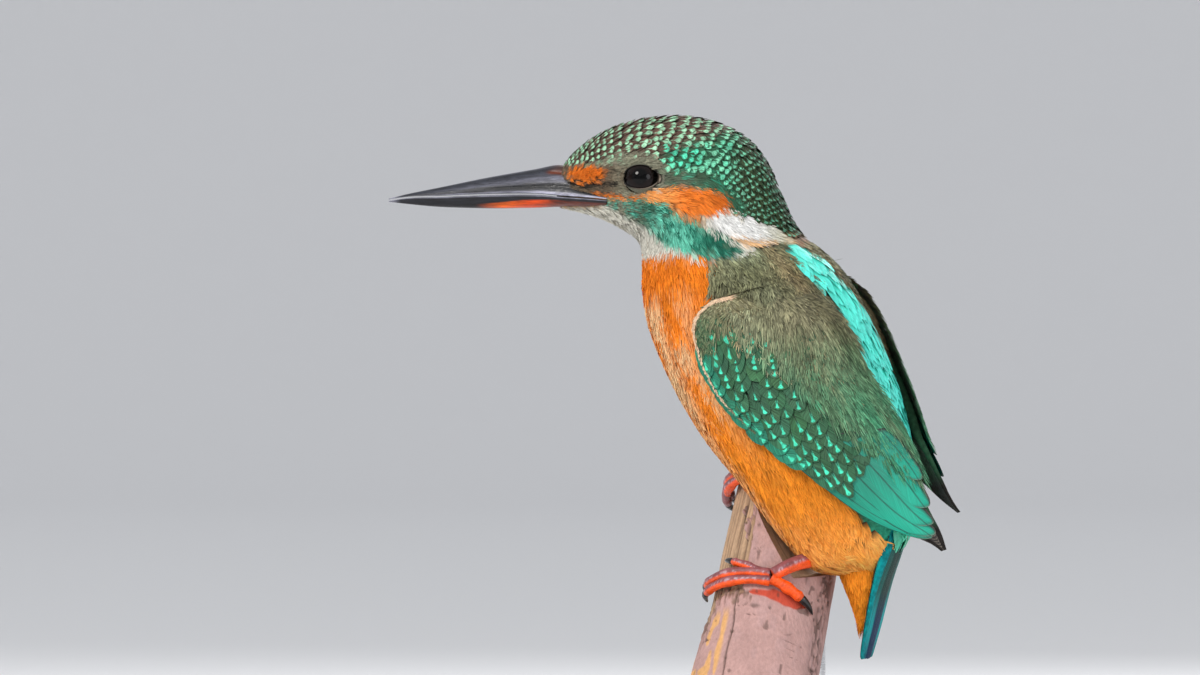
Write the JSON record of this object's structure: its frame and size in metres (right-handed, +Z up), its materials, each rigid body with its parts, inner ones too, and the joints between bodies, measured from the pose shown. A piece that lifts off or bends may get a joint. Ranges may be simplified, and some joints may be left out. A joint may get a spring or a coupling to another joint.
{
  "type": "common kingfisher",
  "caption": "Life-size common kingfisher with folded wings and a dagger bill, gripping an inclined cut branch held by a round display stand.",
  "frame": {"origin": "centre of the stand base's flat underside", "axes": "+Z up, -X where the bill points, -Y the bird's left"},
  "size_m": [0.1319, 0.092, 0.1515],
  "materials": {
    "crown_feathers": "barred dark green and cyan feathers, soft satin",
    "breast_feathers": "orange body feathers, soft matte",
    "wing_feathers": "green wing feathers with turquoise tips, satin",
    "tail_feathers": "blue tail feathers, satin",
    "bill_horn": "dark horn, worn gloss",
    "bill_lower_horn": "orange-red and dark horn, worn gloss",
    "eye": "wet gloss, near black",
    "foot_skin": "orange-red scaled skin",
    "claw_horn": "black horn",
    "perch_bark": "pinkish grey bark, partly stripped to fibrous wood",
    "stand_wood": "dark stained wood, satin",
    "stand_metal": "brushed steel"
  },
  "bodies": {
    "root": {"head": "crown_feathers", "neck": "breast_feathers", "trunk": "breast_feathers", "undertail_coverts": "breast_feathers", "wing_left": "wing_feathers", "wing_right": "wing_feathers", "tail": "tail_feathers", "bill_upper": "bill_horn", "bill_lower": "bill_lower_horn", "eye_left": "eye", "eye_right": "eye", "leg_left": "foot_skin", "leg_right": "foot_skin", "claw_inner_left": "claw_horn", "claw_middle_left": "claw_horn", "claw_outer_left": "claw_horn", "claw_hind_left": "claw_horn", "claw_inner_right": "claw_horn", "claw_middle_right": "claw_horn", "claw_outer_right": "claw_horn", "perch": "perch_bark", "stand_base": "stand_wood", "stand_rod_front": "stand_metal", "stand_rod_back": "stand_metal"}
  },
  "joints": []
}
